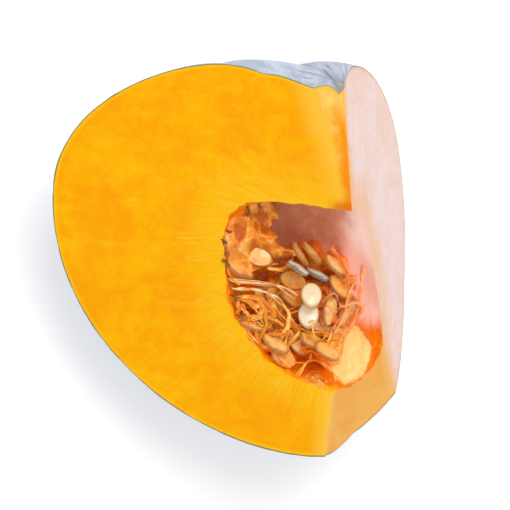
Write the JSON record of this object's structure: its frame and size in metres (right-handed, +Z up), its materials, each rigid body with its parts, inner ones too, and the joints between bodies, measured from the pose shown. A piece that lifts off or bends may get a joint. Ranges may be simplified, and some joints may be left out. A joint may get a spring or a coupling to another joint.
{
  "type": "cut pumpkin quarter",
  "caption": "Hand-cut quarter of a blue-grey winter pumpkin lying on its skin, thick orange flesh, open cavity with seeds and stringy pulp.",
  "frame": {"origin": "middle of the object's box at the surface that it lies on", "axes": "+Z up; -Y the side that the large front cut looks to; +X along the longer side of the piece"},
  "size_m": [0.2306, 0.2194, 0.1547],
  "materials": {
    "wedge": "moist golden-orange cut flesh, semi-matt, inside a waxy blue-grey rind",
    "seed": "wet cream seed coat with a soft sheen and a pale rim",
    "pulp": "wet orange stringy pulp"
  },
  "bodies": {
    "root": {"pulp_bed": "pulp", "pulp_membrane": "pulp", "seed_01": "seed", "seed_02": "seed", "seed_03": "seed", "seed_04": "seed", "seed_05": "seed", "seed_06": "seed", "seed_07": "seed", "seed_08": "seed", "seed_09": "seed", "seed_10": "seed", "seed_11": "seed", "seed_12": "seed", "seed_13": "seed", "seed_14": "seed", "seed_15": "seed", "seed_16": "seed", "seed_17": "seed", "seed_18": "seed", "seed_19": "seed", "seed_20": "seed", "seed_21": "seed", "seed_22": "seed", "seed_23": "seed", "seed_24": "seed", "strand_01": "pulp", "strand_02": "pulp", "strand_03": "pulp", "strand_04": "pulp", "strand_05": "pulp", "strand_06": "pulp", "strand_07": "pulp", "strand_08": "pulp", "strand_09": "pulp", "strand_10": "pulp", "strand_11": "pulp", "strand_12": "pulp", "strand_13": "pulp", "strand_14": "pulp", "wedge": "wedge"}
  },
  "joints": []
}
